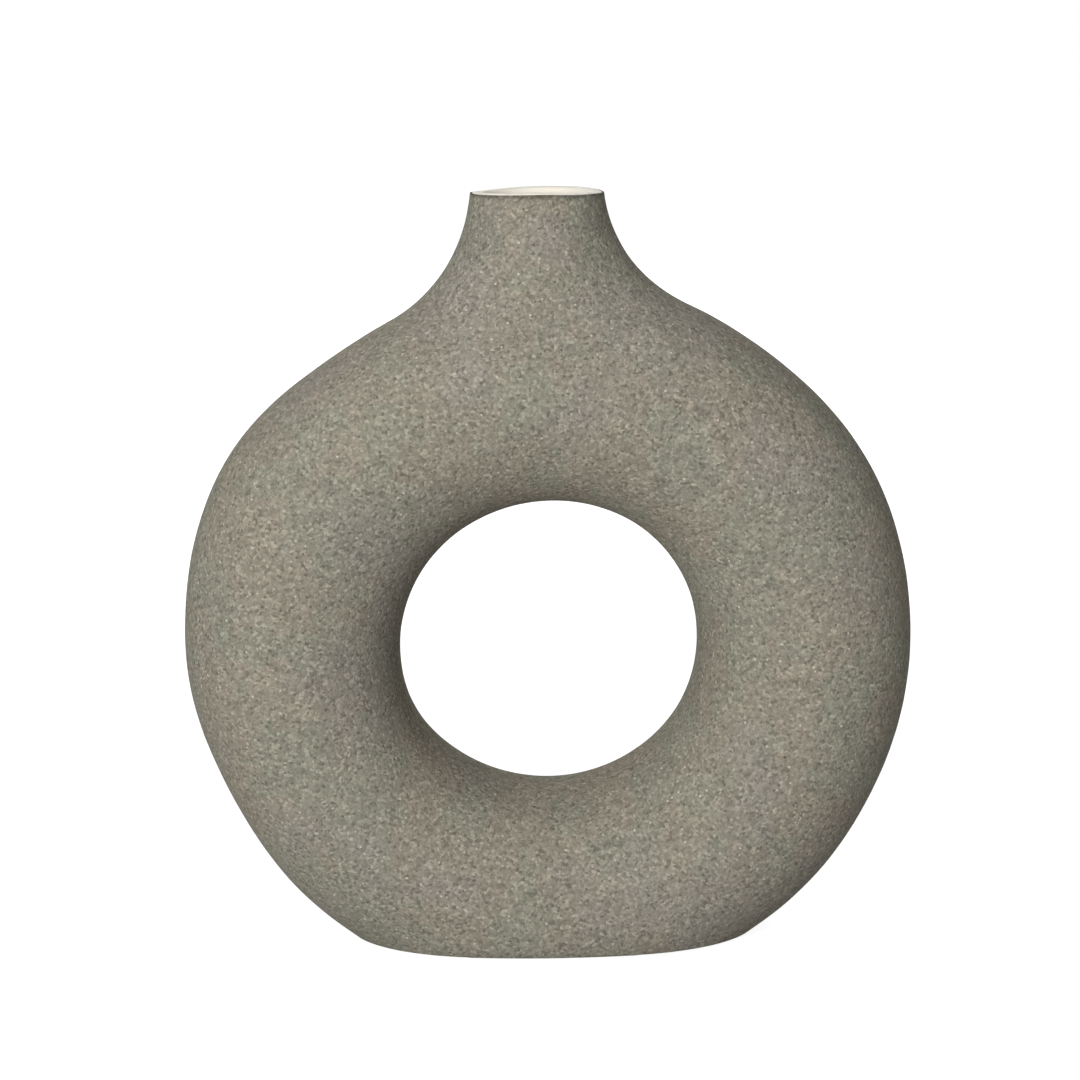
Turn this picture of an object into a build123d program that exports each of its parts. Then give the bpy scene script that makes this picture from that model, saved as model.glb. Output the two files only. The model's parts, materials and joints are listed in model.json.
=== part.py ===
from build123d import *
from math import radians, sqrt, tan
import os

# Donut vase: a hollow ring that stands on a flat foot, with a short flared neck on top.
# Millimetres, +Z up. The origin is the middle of the foot, on the table.
# The ring's axis runs along Y, so the hole is seen from the front (-Y).

# The ring
ring_width = 241.0  # outside
hole_width = 100.5
ring_depth = 77.0  # front to back
foot_width = 135.0  # across the flat that the foot cuts off the ring

# The neck
neck_height = 29.7  # from the ring's top to the lip
neck_width = 43.2  # outside, at the lip
neck_taper = 10.0  # degrees, wider downwards
neck_root_margin = 5.0  # the neck's root stays at least this far inside the ring's depth
neck_flare = 50.0  # radius of the flare that runs from the neck into the ring
flare_height_share = 1.7  # a short neck gets a smaller flare, at most this share of its height
neck_shift = 2.0  # the neck stands this far left of the ring's middle

# The layers of the wall, from the outside in
coat_thickness = 0.8
clay_thickness = 4.0
glaze_thickness = 0.5
layer_gap = 0.03  # between two layers that lie on each other

# The foot
foot_round = 4.0  # its soft outer edge
foot_rim_width = 7.0  # the vase stands on this rim
foot_recess = 1.2  # the middle of the foot is this much higher
floor_round = 6.0  # inside, where the floor meets the wall
coat_stop_height = 0.8  # the coat ends this far above the table

# The lip
lip_round = 1.2  # the clay's inner edge at the mouth
glaze_edge_round = 0.3  # the glaze's outer edge on the lip
coat_edge_round = 0.3  # the coat's edge below the lip

# The joint between the two halves
slip_thickness = 0.5
rebate_depth = 1.6  # a rebate along the inside of the joint, filled with slip
rebate_width = 3.2

overrun = 10.0  # how far a cutting body runs past what it cuts

# Worked out from the sizes above
ring_thickness = (ring_width - hole_width) / 2
section_radius = (ring_width + hole_width) / 4  # from the ring's axis to the middle of its section
ring_centre_height = sqrt((ring_width / 2) ** 2 - (foot_width / 2) ** 2)
ring_top = ring_centre_height + ring_width / 2
overall_height = ring_top + neck_height
neck_radius = neck_width / 2
clay_inset = coat_thickness + layer_gap
cavity_inset = clay_inset + clay_thickness
glaze_inset = cavity_inset + layer_gap
lining_inset = glaze_inset + glaze_thickness
groove_inset = cavity_inset - rebate_depth
recess_inset = clay_inset + foot_rim_width
clay_top = overall_height - glaze_thickness - layer_gap
groove_top = clay_top - lip_round - rebate_depth
groove_floor = clay_thickness - rebate_depth
glaze_floor = clay_thickness + layer_gap
mouth_top = overall_height + overrun

# The ring's section is a slot, with its straight sides along whichever way it is longer
quarter_turn = 90.0  # degrees
slot_length = max(ring_depth, ring_thickness)
slot_width = min(ring_depth, ring_thickness)
slot_turn = quarter_turn if ring_depth > ring_thickness else 0

# The neck is drawn as a cone, from deep in the ring's crest to well above the lip
root_height = ring_top - slot_width / 2
end_height = mouth_top + overrun
tapered_radius = neck_radius + tan(radians(neck_taper)) * (overall_height - root_height)
root_radius = min(tapered_radius, ring_depth / 2 - neck_root_margin)
neck_spread = (root_radius - neck_radius) / (overall_height - root_height)
end_radius = neck_radius - neck_spread * (end_height - overall_height)
flare_radius = min(neck_flare, flare_height_share * neck_height)


def vase_form(inset, bottom, top):
    """A closed form like the outside of the vase, with every wall moved in by the inset."""
    ring_plane = Plane.XY.offset(ring_centre_height)
    with BuildPart() as form:
        with BuildSketch(ring_plane):
            with Locations((section_radius, 0)):
                SlotOverall(slot_length - 2 * inset, slot_width - 2 * inset, rotation=slot_turn)
        revolve(axis=Axis(ring_plane.origin, (0, 1, 0)))
        with Locations((-neck_shift, 0, root_height)):
            Cone(
                root_radius - inset,
                end_radius - inset,
                end_height - root_height,
                rotation=(0, 0, quarter_turn),  # keeps the cone's seam line off the ring's crest
                align=(Align.CENTER, Align.CENTER, Align.MIN),
            )
        meeting = form.edges().filter_by(GeomType.BSPLINE)
        fillet(meeting.filter_by_position(Axis.Z, root_height, end_height), flare_radius + inset)
        split(bisect_by=Plane.XY.offset(top), keep=Keep.BOTTOM)
        split(bisect_by=Plane.XY.offset(bottom), keep=Keep.TOP)
    return form.part


def rounded_form(inset, bottom, top, edge_round):
    """The same form with its bottom edge rounded."""
    with BuildPart() as form:
        add(vase_form(inset, bottom, top))
        fillet(form.faces().sort_by(Axis.Z)[0].edges(), edge_round)
    return form.part


def seam_band(form, half_width):
    """The part of a form that lies within the half width of the joint plane."""
    with BuildPart() as band:
        add(form)
        split(bisect_by=Plane.XZ.offset(half_width), keep=Keep.BOTTOM)
        split(bisect_by=Plane.XZ.offset(-half_width), keep=Keep.TOP)
    return band.part


outside_form = rounded_form(0, 0, clay_top, foot_round)
coat_inside_form = rounded_form(coat_thickness, 0, mouth_top, foot_round)
clay_form = rounded_form(clay_inset, 0, clay_top, foot_round)
recess_form = vase_form(recess_inset, -overrun, foot_recess)
cavity_form = rounded_form(cavity_inset, clay_thickness, mouth_top, floor_round)
glaze_form = rounded_form(glaze_inset, glaze_floor, mouth_top, floor_round)
lining_form = rounded_form(lining_inset, glaze_floor + glaze_thickness, mouth_top, floor_round)
groove_form = vase_form(groove_inset, groove_floor, groove_top)
fill_form = vase_form(groove_inset + layer_gap, groove_floor + layer_gap, groove_top - layer_gap)

# The clay body before it is parted: wall, foot and mouth
with BuildPart() as clay_body:
    add(clay_form)
    add(recess_form, mode=Mode.SUBTRACT)
    add(cavity_form, mode=Mode.SUBTRACT)
    lip_face = clay_body.faces().filter_by(Axis.Z).sort_by(Axis.Z)[-1]
    fillet(lip_face.inner_wires()[0].edges(), lip_round)

groove = seam_band(groove_form, rebate_width / 2)
fill = seam_band(fill_form, rebate_width / 2 - layer_gap)
slip_plate = seam_band(clay_body.part, slip_thickness / 2)

# The front half of the ring and the neck
with BuildPart() as front_shell:
    add(clay_body)
    split(bisect_by=Plane.XZ.offset(slip_thickness / 2), keep=Keep.TOP)
    add(groove, mode=Mode.SUBTRACT)
front_shell.part.label = "front_shell"

# The back half
with BuildPart() as back_shell:
    add(clay_body)
    split(bisect_by=Plane.XZ.offset(-slip_thickness / 2), keep=Keep.BOTTOM)
    add(groove, mode=Mode.SUBTRACT)
back_shell.part.label = "back_shell"

# The slip between the halves, with the fillet of slip that fills the rebate inside.
# It is two separate runs: one round the outside and up the neck, and one round the hole.
with BuildPart() as joint_slip:
    add(fill)
    add(cavity_form, mode=Mode.SUBTRACT)
    add(slip_plate)
hole_run, outer_run = joint_slip.solids().sort_by(SortBy.VOLUME)

with BuildPart() as outer_seam_slip:
    add(outer_run)
outer_seam_slip.part.label = "outer_seam_slip"

with BuildPart() as hole_seam_slip:
    add(hole_run)
hole_seam_slip.part.label = "hole_seam_slip"

# The sandy coat, from the lip down to just above the foot
with BuildPart() as sand_coat:
    add(outside_form)
    add(coat_inside_form, mode=Mode.SUBTRACT)
    split(bisect_by=Plane.XY.offset(coat_stop_height), keep=Keep.TOP)
    coat_top_face = sand_coat.faces().filter_by(Axis.Z).sort_by(Axis.Z)[-1]
    fillet(coat_top_face.outer_wire().edges(), coat_edge_round)
sand_coat.part.label = "sand_coat"

# The glaze that lines the inside and turns over the lip
lip_glaze_radius = neck_radius + neck_spread * (overall_height - clay_top) - clay_inset
with BuildPart() as inner_glaze:
    add(glaze_form)
    split(bisect_by=Plane.XY.offset(overall_height), keep=Keep.BOTTOM)
    with Locations((-neck_shift, 0, clay_top + layer_gap)):
        Cylinder(lip_glaze_radius, glaze_thickness, align=(Align.CENTER, Align.CENTER, Align.MIN))
    under_lip = inner_glaze.edges().filter_by(GeomType.CIRCLE)
    under_lip = under_lip.filter_by_position(Axis.Z, clay_top, clay_top + glaze_thickness / 2)
    fillet(under_lip.sort_by(SortBy.RADIUS)[0], lip_round + layer_gap)
    fillet(inner_glaze.edges().filter_by(GeomType.CIRCLE).sort_by(Axis.Z)[-1], glaze_edge_round)
    add(lining_form, mode=Mode.SUBTRACT)
    mouth_face = inner_glaze.faces().filter_by(Axis.Z).sort_by(Axis.Z)[-1]
    fillet(mouth_face.inner_wires()[0].edges(), lip_round + glaze_thickness)
inner_glaze.part.label = "inner_glaze"

os.makedirs("parts", exist_ok=True)
pieces = (front_shell, back_shell, outer_seam_slip, hole_seam_slip, sand_coat, inner_glaze)
for piece in pieces:
    export_step(piece.part, f"parts/{piece.part.label}.step")
    print(piece.part.label, len(piece.solids()), "solid", round(piece.part.volume), "mm3")
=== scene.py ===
# Donut vase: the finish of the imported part. Metres, +Z up, the vase's front faces -Y.
import bpy
import json
import math
from mathutils import Matrix, Vector

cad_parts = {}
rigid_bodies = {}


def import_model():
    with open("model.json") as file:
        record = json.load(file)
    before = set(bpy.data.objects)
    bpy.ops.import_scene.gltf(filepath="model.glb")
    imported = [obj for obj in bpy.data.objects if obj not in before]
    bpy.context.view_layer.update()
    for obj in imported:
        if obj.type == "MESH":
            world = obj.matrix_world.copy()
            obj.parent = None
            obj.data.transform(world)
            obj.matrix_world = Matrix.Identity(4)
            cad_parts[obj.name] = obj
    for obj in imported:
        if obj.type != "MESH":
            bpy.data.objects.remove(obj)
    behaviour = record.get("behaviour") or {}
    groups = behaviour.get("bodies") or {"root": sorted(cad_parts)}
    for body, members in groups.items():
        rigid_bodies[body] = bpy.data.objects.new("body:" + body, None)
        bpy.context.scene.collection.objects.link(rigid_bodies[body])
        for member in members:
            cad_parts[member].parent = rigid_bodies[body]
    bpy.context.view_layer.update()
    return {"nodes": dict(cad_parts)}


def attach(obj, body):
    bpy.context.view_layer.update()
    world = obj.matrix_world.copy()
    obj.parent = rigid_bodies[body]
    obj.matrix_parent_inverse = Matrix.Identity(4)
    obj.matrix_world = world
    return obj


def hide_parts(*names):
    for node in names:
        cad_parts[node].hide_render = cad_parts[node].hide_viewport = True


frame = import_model()


mergeWithin = 0.000002  # corners this close are one
creaseAngle = math.radians(35)  # sharper edges than this stay sharp


def pick(piece):
    bpy.ops.object.select_all(action="DESELECT")
    piece.select_set(True)
    bpy.context.view_layer.objects.active = piece


def chooseFaces(piece, test):
    # leaves the piece in edit mode with the faces that pass the test selected
    pick(piece)
    bpy.ops.object.mode_set(mode="EDIT")
    bpy.ops.mesh.select_mode(type="FACE")
    bpy.ops.mesh.select_all(action="DESELECT")
    bpy.ops.object.mode_set(mode="OBJECT")
    for face in piece.data.polygons:
        face.select = test(face.center, face.normal)
    bpy.ops.object.mode_set(mode="EDIT")


def chooseEdges(piece, test):
    # the same for edges, tested by their two ends
    pick(piece)
    bpy.ops.object.mode_set(mode="EDIT")
    bpy.ops.mesh.select_mode(type="EDGE")
    bpy.ops.mesh.select_all(action="DESELECT")
    bpy.ops.object.mode_set(mode="OBJECT")
    points = piece.data.vertices
    for edge in piece.data.edges:
        edge.select = test(points[edge.vertices[0]].co, points[edge.vertices[1]].co)
    bpy.ops.object.mode_set(mode="EDIT")


def finishWith(piece, kind, **settings):
    modifier = piece.modifiers.new(kind.title(), kind)
    for key, value in settings.items():
        setattr(modifier, key, value)
    pick(piece)
    bpy.ops.object.modifier_apply(modifier=modifier.name)


def mergedCopy(nodeName, pieceName):
    # the CAD node is loose triangles, so its copy is merged
    mesh = frame["nodes"][nodeName].data.copy()
    mesh.name = pieceName
    mesh.materials.clear()
    piece = bpy.data.objects.new(pieceName, mesh)
    bpy.context.scene.collection.objects.link(piece)
    pick(piece)
    bpy.ops.object.mode_set(mode="EDIT")
    bpy.ops.mesh.select_all(action="SELECT")
    bpy.ops.mesh.remove_doubles(threshold=mergeWithin)
    bpy.ops.object.mode_set(mode="OBJECT")
    if mesh.has_custom_normals:
        bpy.ops.mesh.customdata_custom_splitnormals_clear()
    return piece


def softStep(value, low, high):
    t = min(max((value - low) / (high - low), 0), 1)
    return t * t * (3 - 2 * t)


def aroundAt(values, turn):
    # values stand at even steps round a circle from the right, and run softly into each other
    step = (turn / math.tau) % 1 * len(values)
    first = int(step) % len(values)
    blend = softStep(step - int(step), 0, 1)
    return values[first] * (1 - blend) + values[(first + 1) % len(values)] * blend


def addNode(tree, kind, inputs=None, **settings):
    made = tree.nodes.new(kind)
    for key, value in settings.items():
        setattr(made, key, value)
    for key, value in (inputs or {}).items():
        made.inputs[key].default_value = value
    return made


def newFinish(name):
    finish = bpy.data.materials.new(name)
    finish.use_nodes = True
    tree = finish.node_tree
    shader = tree.nodes["Principled BSDF"]
    place = addNode(tree, "ShaderNodeTexCoord").outputs["Object"]
    return finish, tree, shader, place


def noiseAt(tree, place, scale, detail=3, roughness=0.6):
    inputs = {"Scale": scale, "Detail": detail, "Roughness": roughness}
    made = addNode(tree, "ShaderNodeTexNoise", inputs)
    tree.links.new(place, made.inputs["Vector"])
    return made.outputs["Fac"]


def grainsAt(tree, place, scale):
    # cells of random tones: gives the tones and the distance from a cell's middle
    cells = addNode(tree, "ShaderNodeTexVoronoi", {"Scale": scale, "Randomness": 1.0})
    tree.links.new(place, cells.inputs["Vector"])
    tones = addNode(tree, "ShaderNodeSeparateColor")
    tree.links.new(cells.outputs["Color"], tones.inputs["Color"])
    return tones.outputs, cells.outputs["Distance"]


def grey(value):
    return (value, value, value)


def rampOf(tree, value, stops):
    made = addNode(tree, "ShaderNodeValToRGB")
    bar = made.color_ramp
    while len(bar.elements) < len(stops):
        bar.elements.new(0.5)
    for element, (position, colour) in zip(bar.elements, stops):
        element.position = position
        element.color = (*colour, 1)
    tree.links.new(value, made.inputs["Fac"])
    return made.outputs["Color"]


def toneRamp(tree, value, stops):
    return rampOf(tree, value, [(position, grey(tone)) for position, tone in stops])


def mixOf(tree, blend, factor, first, second):
    made = addNode(tree, "ShaderNodeMix", data_type="RGBA", blend_type=blend)
    for socket, value in (("Factor", factor), ("A", first), ("B", second)):
        target = [s for s in made.inputs if s.name == socket and s.enabled][0]
        if isinstance(value, bpy.types.NodeSocket):
            tree.links.new(value, target)
        else:
            target.default_value = value
    return [s for s in made.outputs if s.enabled][0]


def mathOf(tree, operation, first, second=None, clamp=False):
    made = addNode(tree, "ShaderNodeMath", operation=operation, use_clamp=clamp)
    for index, value in enumerate((first, second)):
        if isinstance(value, bpy.types.NodeSocket):
            tree.links.new(value, made.inputs[index])
        elif value is not None:
            made.inputs[index].default_value = value
    return made.outputs["Value"]


def addRelief(tree, shader, height, strength, depth):
    relief = addNode(tree, "ShaderNodeBump", {"Strength": strength, "Distance": depth})
    tree.links.new(height, relief.inputs["Height"])
    tree.links.new(relief.outputs["Normal"], shader.inputs["Normal"])


# the sandy coat outside
sandCoat = {
    "top": 0.2498,  # height of its upper edge, just under the glazed lip
    "wall": 0.00065,
    "rim": 0.0004,  # the faces this close to the top belong to its rim
    "touch": 0.00001,  # places this close count as the same
    "endReach": 0.00003,  # points this close to an open end belong to it
    "underRun": 0.0012,  # how far the foot's end runs down, drawing in by the next three
    "drawIn": (0.965, 0.93, 1),
    "endRun": 0.005,  # how far both ends run on before they are closed
    "voxel": 0.002,
    "smoothing": 6,  # rounds of it after the new mesh
    "waveSize": 0.022,  # soft hand-made unevenness
    "waveDepth": 0.0002,
    "waveSink": 0.8,  # the share of it that goes inwards
    "taupe": (0.285, 0.256, 0.203),
    "olive": (0.267, 0.258, 0.203),
    "ash": (0.274, 0.254, 0.214),
    "darkGrain": (0.085, 0.075, 0.058),
    "brightGrain": (0.66, 0.62, 0.52),
    "patchScale": 44,  # patches and grains per metre
    "coolScale": 27,
    "cloudScale": 120,
    "grainScale": 1060,
    "fineScale": 1750,
    "singleScale": 520,
    "patchEdge": (0.455, 0.535),
    "coolTones": ((0.50, 0), (0.62, 0.8)),
    "cloudTones": ((0.3, 0.97), (0.7, 1.03)),
    "grainTones": ((0.0, 0.60), (0.15, 0.83), (0.5, 0.98), (0.85, 1.16), (1.0, 1.46)),
    "fineTones": ((0.0, 0.84), (1.0, 1.16)),
    "singleCore": ((0.14, 1), (0.26, 0)),
    "brightPick": ((0.89, 0), (0.93, 1)),
    "darkPick": ((0.88, 0), (0.93, 1)),
    "brightShow": 0.8,
    "darkShow": 0.6,
    "rimShadeFrom": 0.2478,  # painted shade darkens the upper edge, where the coat steps to the lip, from this height up to the next one
    "rimShadeTo": 0.2490,
    "rimShadeShow": 0.9,
    "rimShadeTone": 0.45,
    "hillHeight": 0.7,  # how high the grains stand, where a fine noise among them has 1
    "noiseScale": 1500,
    "brightHeight": 0.5,  # how much higher the bright ones stand
    "reliefStrength": 0.45,
    "reliefDepth": 0.0004,
    "roughness": 0.92,
    "shine": 0.25,
}


def makeCoatFinish():
    finish, tree, shader, place = newFinish("sandCoatFinish")

    # warm and greenish patches of the same lightness, with cooler ones here and there
    oliveTo, taupeFrom = sandCoat["patchEdge"]
    patches = noiseAt(tree, place, sandCoat["patchScale"])
    base = rampOf(tree, patches, [(oliveTo, sandCoat["olive"]), (taupeFrom, sandCoat["taupe"])])
    cool = noiseAt(tree, place, sandCoat["coolScale"])
    cool = toneRamp(tree, cool, sandCoat["coolTones"])
    base = mixOf(tree, "MIX", cool, base, (*sandCoat["ash"], 1))
    clouds = noiseAt(tree, place, sandCoat["cloudScale"])
    clouds = toneRamp(tree, clouds, sandCoat["cloudTones"])
    base = mixOf(tree, "MULTIPLY", 1.0, base, clouds)

    # every grain has its own tone, and finer ones lie among them
    tones, distance = grainsAt(tree, place, sandCoat["grainScale"])
    grains = toneRamp(tree, tones["Red"], sandCoat["grainTones"])
    base = mixOf(tree, "MULTIPLY", 1.0, base, grains)
    fine = grainsAt(tree, place, sandCoat["fineScale"])[0]
    fine = toneRamp(tree, fine["Red"], sandCoat["fineTones"])
    base = mixOf(tree, "MULTIPLY", 1.0, base, fine)

    # a few larger grains stand out, bright or dark
    single, core = grainsAt(tree, place, sandCoat["singleScale"])
    coreMask = toneRamp(tree, core, sandCoat["singleCore"])
    brightOnes = toneRamp(tree, single["Green"], sandCoat["brightPick"])
    darkOnes = toneRamp(tree, single["Blue"], sandCoat["darkPick"])
    brightMask = mathOf(tree, "MULTIPLY", coreMask, brightOnes)
    pitMask = mathOf(tree, "MULTIPLY", coreMask, darkOnes)
    brightShare = mathOf(tree, "MULTIPLY", brightMask, sandCoat["brightShow"])
    darkShare = mathOf(tree, "MULTIPLY", pitMask, sandCoat["darkShow"])
    base = mixOf(tree, "MIX", brightShare, base, (*sandCoat["brightGrain"], 1))
    base = mixOf(tree, "MIX", darkShare, base, (*sandCoat["darkGrain"], 1))

    # painted shade: the coat darkens at its upper edge, where it steps to the glazed lip
    height = addNode(tree, "ShaderNodeSeparateXYZ")
    tree.links.new(place, height.inputs["Vector"])
    edge = addNode(tree, "ShaderNodeMapRange", {
        "From Min": sandCoat["rimShadeFrom"], "From Max": sandCoat["rimShadeTo"],
        "To Min": 0.0, "To Max": sandCoat["rimShadeShow"],
    })
    tree.links.new(height.outputs["Z"], edge.inputs["Value"])
    base = mixOf(tree, "MULTIPLY", edge.outputs["Result"], base, (*grey(sandCoat["rimShadeTone"]), 1))
    tree.links.new(base, shader.inputs["Base Color"])

    # the grains are hills, the dark ones are pits
    hills = mathOf(tree, "SUBTRACT", 1.0, distance)
    hills = mathOf(tree, "MULTIPLY", hills, sandCoat["hillHeight"])
    fineNoise = noiseAt(tree, place, sandCoat["noiseScale"], detail=2)
    rough = mathOf(tree, "ADD", hills, fineNoise)
    brightHills = mathOf(tree, "MULTIPLY", brightMask, sandCoat["brightHeight"])
    rough = mathOf(tree, "ADD", rough, brightHills)
    rough = mathOf(tree, "SUBTRACT", rough, pitMask)
    addRelief(tree, shader, rough, sandCoat["reliefStrength"], sandCoat["reliefDepth"])
    shader.inputs["Roughness"].default_value = sandCoat["roughness"]
    shader.inputs["Specular IOR Level"].default_value = sandCoat["shine"]
    return finish


def runEndOn(rise):
    bpy.ops.mesh.extrude_edges_move(TRANSFORM_OT_translate={"value": (0, 0, rise)})


def makeSandCoat():
    piece = mergedCopy("sand_coat", "sandCoat")
    levels = [point.co.z for point in piece.data.vertices]
    stop, top = min(levels), max(levels)

    # keep the outer skin: take the rims off, then all that isn't joined to the widest face
    rimFrom, stopTo = top - sandCoat["rim"], stop + sandCoat["touch"]
    chooseFaces(piece, lambda centre, normal: centre.z > rimFrom or centre.z < stopTo)
    bpy.ops.mesh.delete(type="FACE")
    bpy.ops.object.mode_set(mode="OBJECT")
    widest = max(face.center.x for face in piece.data.polygons) - sandCoat["touch"]
    chooseFaces(piece, lambda centre, normal: centre.x > widest)
    bpy.ops.mesh.select_linked()
    bpy.ops.mesh.select_all(action="INVERT")
    bpy.ops.mesh.delete(type="FACE")
    bpy.ops.object.mode_set(mode="OBJECT")

    # run both open ends on and close them, so that the skin can be meshed anew
    ends = [point.co.z for point in piece.data.vertices]
    low, high = min(ends) + sandCoat["endReach"], max(ends) - sandCoat["endReach"]
    chooseEdges(piece, lambda a, b: a.z < low and b.z < low)
    runEndOn(-sandCoat["underRun"])
    bpy.ops.transform.resize(value=sandCoat["drawIn"], center_override=(0, 0, 0))
    runEndOn(-sandCoat["endRun"])
    bpy.ops.mesh.edge_face_add()
    bpy.ops.object.mode_set(mode="OBJECT")
    chooseEdges(piece, lambda a, b: a.z > high and b.z > high)
    runEndOn(sandCoat["endRun"])
    bpy.ops.mesh.edge_face_add()
    bpy.ops.object.mode_set(mode="OBJECT")
    finishWith(piece, "REMESH", mode="VOXEL", voxel_size=sandCoat["voxel"])
    finishWith(piece, "SMOOTH", factor=0.5, iterations=sandCoat["smoothing"])

    waves = bpy.data.textures.new("coatWaves", "CLOUDS")
    waves.noise_scale = sandCoat["waveSize"]
    waves.noise_depth = 1
    finishWith(
        piece, "DISPLACE", texture=waves, texture_coords="LOCAL",
        strength=sandCoat["waveDepth"], mid_level=sandCoat["waveSink"],
    )

    pick(piece)
    bpy.ops.object.mode_set(mode="EDIT")
    bpy.ops.mesh.select_all(action="SELECT")
    bpy.ops.mesh.bisect(plane_co=(0, 0, stop), plane_no=(0, 0, 1), clear_inner=True)
    bpy.ops.mesh.select_all(action="SELECT")
    bpy.ops.mesh.bisect(plane_co=(0, 0, sandCoat["top"]), plane_no=(0, 0, 1), clear_outer=True)
    bpy.ops.mesh.select_all(action="SELECT")
    bpy.ops.mesh.normals_make_consistent(inside=False)
    bpy.ops.object.mode_set(mode="OBJECT")
    finishWith(piece, "SOLIDIFY", thickness=sandCoat["wall"], offset=-1)
    return piece


# the vase was shaped by hand: all its layers give way together, in millimetres
handShape = {
    "ringCentre": 0.0998,  # height of the ring's middle
    # the ring's outside and its hole, outwards, every 30 degrees from the right over the top
    "outside": (0.0, 1.5, -0.6, 0.0, -3.1, 2.5, 0.0, -3.5, -2.3, 0.0, 0.1, -0.9),
    "hole": (-0.6, -0.2, -0.3, -2.1, -2.3, -2.0, -1.0, 1.1, -0.8, -2.8, -1.2, 0.0),
    "outsideReach": (0.062, 0.105),  # how far from the middle each push starts and is full
    "holeReach": (0.05, 0.085),
    "footHold": (0.03, 0.07),  # up and down pushes fade out below this height
    "neckLeft": 0.45,  # the left of the mouth stands out by this
    "neckLeftUp": (0.205, 0.24),
    "neckLeftAcross": (-0.024, 0.012),
    "shoulders": (  # soft pushes: place across and up, reach in metres, then move across and up
        (0.045, 0.206, 0.036, 1.0, 1.6),
        (0.026, 0.234, 0.024, -0.9, 0.0),
        (-0.047, 0.206, 0.036, -0.8, 1.5),
        (0.020, 0.250, 0.030, 0.5, 0.0),
        (0.067, 0.0, 0.030, 0.0, 0.9),
        (-0.067, 0.0, 0.030, 0.0, 0.9),
    ),
    "lipFrom": 0.232,  # the lip's unevenness fades out downwards to here
    # how far the lip sinks, every 45 degrees from the right over the back
    "lipDrops": (1.0, 0.5, 0.5, 0.7, 0.1, 0.0, 0.0, 0.6),
    "lipTop": 0.25,
    "neckAxis": -0.002,
    "cageMiddle": 0.125,
    "cageSize": (0.28, 0.1, 0.28),
    "cagePoints": (16, 2, 16),
}
millimetre = 0.001


def makeShapeCage():
    bpy.ops.object.select_all(action="DESELECT")
    bpy.ops.object.add(type="LATTICE", location=(0, 0, handShape["cageMiddle"]))
    cage = bpy.context.object
    cage.name = "shapeCage"
    cage.scale = handShape["cageSize"]
    cage.data.points_u, cage.data.points_v, cage.data.points_w = handShape["cagePoints"]
    bpy.context.view_layer.update()
    for point in cage.data.points:
        place = cage.matrix_world @ point.co
        rise = place.z - handShape["ringCentre"]
        turn, reach = math.atan2(rise, place.x), math.hypot(rise, place.x)
        push = aroundAt(handShape["outside"], turn) * softStep(reach, *handShape["outsideReach"])
        push += aroundAt(handShape["hole"], turn) * (1 - softStep(reach, *handShape["holeReach"]))
        lift = push * math.sin(turn) * softStep(place.z, *handShape["footHold"])
        move = Vector((push * math.cos(turn), 0, lift))
        neckPart = softStep(place.z, *handShape["neckLeftUp"])
        neckPart *= 1 - softStep(place.x, *handShape["neckLeftAcross"])
        move.x -= handShape["neckLeft"] * neckPart
        for x, z, reach, across, up in handShape["shoulders"]:
            weight = 1 - softStep(math.hypot(place.x - x, place.z - z), 0, reach)
            move += weight * Vector((across, 0, up))
        for axis in (0, 2):
            point.co_deform[axis] = point.co[axis] + move[axis] * millimetre / cage.scale[axis]
    return cage


def shapeByHand(piece, cage):
    finishWith(piece, "LATTICE", object=cage)
    group = piece.vertex_groups.new(name="lip")
    for point in piece.data.vertices:
        turn = math.atan2(point.co.y, point.co.x - handShape["neckAxis"])
        weight = softStep(point.co.z, handShape["lipFrom"], handShape["lipTop"])
        weight *= aroundAt(handShape["lipDrops"], turn)
        if weight > 0:
            group.add([point.index], weight, "REPLACE")
    finishWith(
        piece, "DISPLACE", vertex_group="lip",
        strength=-millimetre, mid_level=0, direction="Z",
    )
    piece.vertex_groups.remove(piece.vertex_groups["lip"])


# the glaze inside and the bare clay under the coat
glaze = {
    "cream": (0.93, 0.87, 0.75),
    "pale": (0.95, 0.91, 0.83),
    "speck": (0.5, 0.38, 0.25),
    "poolScale": 70,
    "poolEdge": (0.35, 0.65),
    "speckScale": 330,
    "speckTones": ((0.05, 0.5), (0.11, 0)),
    "roughTones": ((0.3, 0.52), (0.7, 0.42)),
    "rippleScale": 260,
    "reliefStrength": 0.25,
    "reliefDepth": 0.0005,
    "shine": 0.15,
}
clay = {
    "light": (0.66, 0.56, 0.43),
    "dark": (0.52, 0.42, 0.31),
    "grog": (0.26, 0.19, 0.13),
    "clayTint": (1.0, 1.0, 1.0),
    "slipTint": (0.93, 0.92, 0.90),
    "cloudScale": 90,
    "cloudEdge": (0.35, 0.65),
    "grogScale": 700,
    "grogTones": ((0.08, 0.6), (0.2, 0)),
    "grainScale": 1200,
    "reliefStrength": 0.4,
    "reliefDepth": 0.0003,
    "roughness": 0.88,
}


def makeGlazeFinish():
    finish, tree, shader, place = newFinish("creamGlazeFinish")
    creamTo, paleFrom = glaze["poolEdge"]
    pools = noiseAt(tree, place, glaze["poolScale"], roughness=0.55)
    base = rampOf(tree, pools, [(creamTo, glaze["cream"]), (paleFrom, glaze["pale"])])
    dots = toneRamp(tree, grainsAt(tree, place, glaze["speckScale"])[1], glaze["speckTones"])
    base = mixOf(tree, "MIX", dots, base, (*glaze["speck"], 1))
    tree.links.new(base, shader.inputs["Base Color"])
    tree.links.new(toneRamp(tree, pools, glaze["roughTones"]), shader.inputs["Roughness"])
    ripples = noiseAt(tree, place, glaze["rippleScale"], detail=2, roughness=0.5)
    addRelief(tree, shader, ripples, glaze["reliefStrength"], glaze["reliefDepth"])
    shader.inputs["Specular IOR Level"].default_value = glaze["shine"]
    return finish


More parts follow.
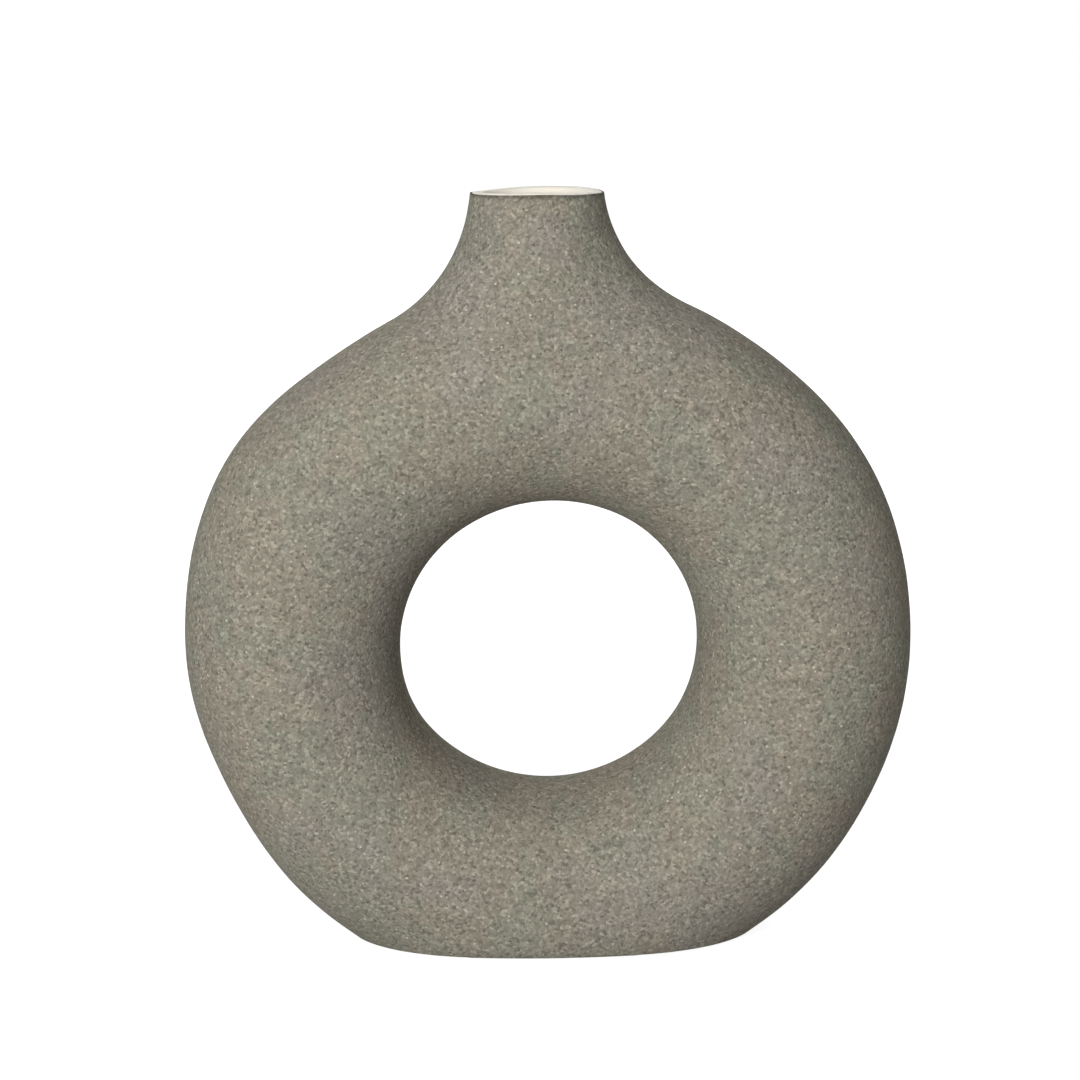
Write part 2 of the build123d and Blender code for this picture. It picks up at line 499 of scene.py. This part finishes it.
def makeClayFinish(name, tint):
    finish, tree, shader, place = newFinish(name)
    darkTo, lightFrom = clay["cloudEdge"]
    clouds = noiseAt(tree, place, clay["cloudScale"], detail=4)
    base = rampOf(tree, clouds, [(darkTo, clay["dark"]), (lightFrom, clay["light"])])
    base = mixOf(tree, "MULTIPLY", 1.0, base, (*tint, 1))
    dots = toneRamp(tree, grainsAt(tree, place, clay["grogScale"])[1], clay["grogTones"])
    base = mixOf(tree, "MIX", dots, base, (*clay["grog"], 1))
    tree.links.new(base, shader.inputs["Base Color"])
    grains = noiseAt(tree, place, clay["grainScale"])
    addRelief(tree, shader, grains, clay["reliefStrength"], clay["reliefDepth"])
    shader.inputs["Roughness"].default_value = clay["roughness"]
    return finish


coatPiece = makeSandCoat()
coatPiece.data.materials.append(makeCoatFinish())
print("sand coat made", len(coatPiece.data.polygons), "faces")

clayFinish = makeClayFinish("bareClayFinish", clay["clayTint"])
slipFinish = makeClayFinish("joiningSlipFinish", clay["slipTint"])
pieces = {"sand_coat": coatPiece}
for nodeName, pieceName, finish in (
    ("front_shell", "frontShell", clayFinish),
    ("back_shell", "backShell", clayFinish),
    ("outer_seam_slip", "outerSeamSlip", slipFinish),
    ("hole_seam_slip", "holeSeamSlip", slipFinish),
    ("inner_glaze", "innerGlaze", makeGlazeFinish()),
):
    piece = mergedCopy(nodeName, pieceName)
    piece.data.materials.append(finish)
    pieces[nodeName] = piece

shapeCage = makeShapeCage()
for nodeName, piece in pieces.items():
    shapeByHand(piece, shapeCage)
    pick(piece)
    bpy.ops.object.shade_smooth_by_angle(angle=creaseAngle)
    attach(piece, "root")
    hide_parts(nodeName)
pick(shapeCage)
bpy.ops.object.delete()
print("clay, slip and glaze made")


# floor, light and camera
studio = {
    "floorSize": 9.0,
    "floorHeight": -0.0001,  # a hair under the foot, so that the two faces don't coincide
    "fill": 0.15,
    "floor": 0.35,
    "floorNear": 0.9,  # how white the floor shows as far out as nearTo
    "nearTo": 0.15,
    "whiteFrom": 0.7,  # it is full white from here out
    "aim": (0.0, 0.0, 0.12),
    "distance": 2.2,
    # degrees to the right of the front, degrees up, size, watts, and whether it shows as a shine
    "lights": {
        "keyLight": (-19, 15, 0.9, 42.2, True),
        "topLight": (0, 86, 0.9, 6.0, True),
        "backLight": (180, 22, 0.9, 24.0, False),
    },
}
view = {
    "place": (-0.0123, -0.89566, 0.3173),
    "down": 0.2017,  # the three turns are in radians
    "right": 0.0111,
    "roll": 0.0109,
    "lens": 91.9,
    "sensor": 36,
    "clipStart": 0.01,
}


def shownWhite(tree):
    # 1 for what the camera sees, straight, mirrored or through glass
    path = addNode(tree, "ShaderNodeLightPath")
    seen = mathOf(tree, "ADD", path.outputs["Is Camera Ray"], path.outputs["Is Glossy Ray"])
    return mathOf(tree, "ADD", seen, path.outputs["Is Transmission Ray"], clamp=True)


bpy.ops.object.select_all(action="DESELECT")
bpy.ops.mesh.primitive_plane_add(size=studio["floorSize"], location=(0, 0, studio["floorHeight"]))
floor = bpy.context.object
floor.name = "studioFloor"
floorFinish = bpy.data.materials.new("floorFinish")
floorFinish.use_nodes = True
tree = floorFinish.node_tree
tree.nodes.clear()
output = addNode(tree, "ShaderNodeOutputMaterial")
paint = addNode(tree, "ShaderNodeBsdfDiffuse", {"Color": (*grey(studio["floor"]), 1)})
glow = addNode(tree, "ShaderNodeEmission", {"Color": (1, 1, 1, 1)})
both = addNode(tree, "ShaderNodeAddShader")
far = addNode(tree, "ShaderNodeVectorMath", operation="LENGTH")
tree.links.new(addNode(tree, "ShaderNodeTexCoord").outputs["Object"], far.inputs[0])
whiter = addNode(tree, "ShaderNodeMapRange", {
    "From Min": studio["nearTo"], "From Max": studio["whiteFrom"],
    "To Min": studio["floorNear"], "To Max": 1.0,
})
tree.links.new(far.outputs["Value"], whiter.inputs["Value"])
shown = mathOf(tree, "MULTIPLY", shownWhite(tree), whiter.outputs["Result"])
tree.links.new(shown, glow.inputs["Strength"])
tree.links.new(paint.outputs["BSDF"], both.inputs[0])
tree.links.new(glow.outputs["Emission"], both.inputs[1])
tree.links.new(both.outputs["Shader"], output.inputs["Surface"])
floor.data.materials.append(floorFinish)

world = bpy.data.worlds.new("studio")
bpy.context.scene.world = world
world.use_nodes = True
tree = world.node_tree
tree.nodes.clear()
output = addNode(tree, "ShaderNodeOutputWorld")
fill = addNode(tree, "ShaderNodeBackground", {"Color": (1, 1, 1, 1), "Strength": studio["fill"]})
white = addNode(tree, "ShaderNodeBackground", {"Color": (1, 1, 1, 1), "Strength": 1.0})
choice = addNode(tree, "ShaderNodeMixShader")
tree.links.new(shownWhite(tree), choice.inputs["Fac"])
tree.links.new(fill.outputs["Background"], choice.inputs[1])
tree.links.new(white.outputs["Background"], choice.inputs[2])
tree.links.new(choice.outputs["Shader"], output.inputs["Surface"])


def addSoftLight(name, right, up, size, power, shines):
    right, up = math.radians(right), math.radians(up)
    away = Vector((math.sin(right) * math.cos(up), -math.cos(right) * math.cos(up), math.sin(up)))
    lamp = bpy.data.lights.new(name, "AREA")
    lamp.shape = "SQUARE"
    lamp.size = size
    lamp.energy = power
    holder = bpy.data.objects.new(name, lamp)
    bpy.context.scene.collection.objects.link(holder)
    holder.location = Vector(studio["aim"]) + away * studio["distance"]
    holder.rotation_euler = (-away).to_track_quat("-Z", "Y").to_euler()
    holder.visible_glossy = shines


for name, settings in studio["lights"].items():
    addSoftLight(name, *settings)

lens = bpy.data.cameras.new("photoView")
lens.sensor_width = view["sensor"]
lens.lens = view["lens"]
lens.clip_start = view["clipStart"]
photoView = bpy.data.objects.new("photoView", lens)
bpy.context.scene.collection.objects.link(photoView)
photoView.matrix_world = (
    Matrix.Translation(view["place"])
    @ Matrix.Rotation(-view["right"], 4, "Z")
    @ Matrix.Rotation(math.pi / 2 - view["down"], 4, "X")
    @ Matrix.Rotation(-view["roll"], 4, "Z")
)
bpy.context.scene.camera = photoView
bpy.context.scene.view_settings.view_transform = "Standard"
print("studio ready")
